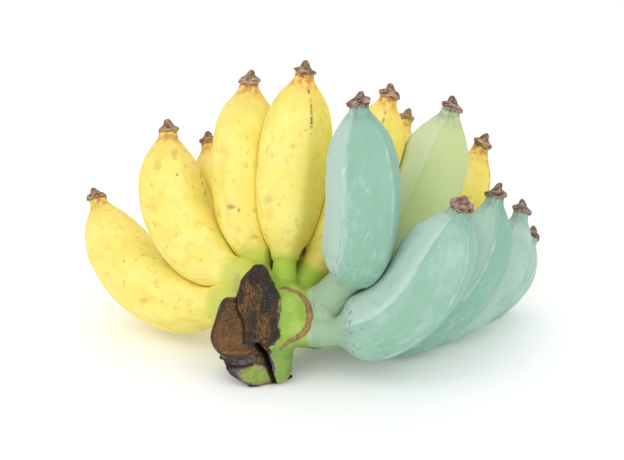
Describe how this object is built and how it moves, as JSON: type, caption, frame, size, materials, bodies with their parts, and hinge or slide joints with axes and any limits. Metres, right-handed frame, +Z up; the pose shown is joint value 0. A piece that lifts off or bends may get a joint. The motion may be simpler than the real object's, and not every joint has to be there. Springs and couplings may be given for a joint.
{
  "type": "hand of bananas",
  "caption": "Cut hand of short, plump dessert bananas: ripe yellow and unripe waxy blue-green fingers joined on a shared dried crown, lying on a table.",
  "frame": {"origin": "middle of the footprint, on the surface the hand lies on", "axes": "+Z up, +X across the fan of fingers towards the blue-green side, the cut crown facing -Y"},
  "size_m": [0.2772, 0.1457, 0.1661],
  "materials": {
    "yellow_peel": "ripe banana peel, satin, with fine brown freckles and faint bruises",
    "bluegreen_peel": "unripe banana peel under a pale blue-green bloom of wax, matte, finely scratched",
    "palegreen_peel": "unripe banana peel turning pale yellow-green under a thin bloom of wax, matte",
    "crown": "dried, blackened cut fibres in front, fresh green stalk skin behind"
  },
  "bodies": {
    "root": {"crown": "crown", "finger_yellow_1": "yellow_peel", "finger_yellow_2": "yellow_peel", "finger_yellow_3": "yellow_peel", "finger_yellow_4": "yellow_peel", "finger_yellow_5": "yellow_peel", "finger_yellow_6": "yellow_peel", "finger_yellow_7": "yellow_peel", "finger_yellow_8": "yellow_peel", "finger_bluegreen_1": "bluegreen_peel", "finger_bluegreen_2": "palegreen_peel", "finger_bluegreen_3": "bluegreen_peel", "finger_bluegreen_4": "bluegreen_peel", "finger_bluegreen_5": "bluegreen_peel", "finger_bluegreen_6": "bluegreen_peel"}
  },
  "joints": []
}
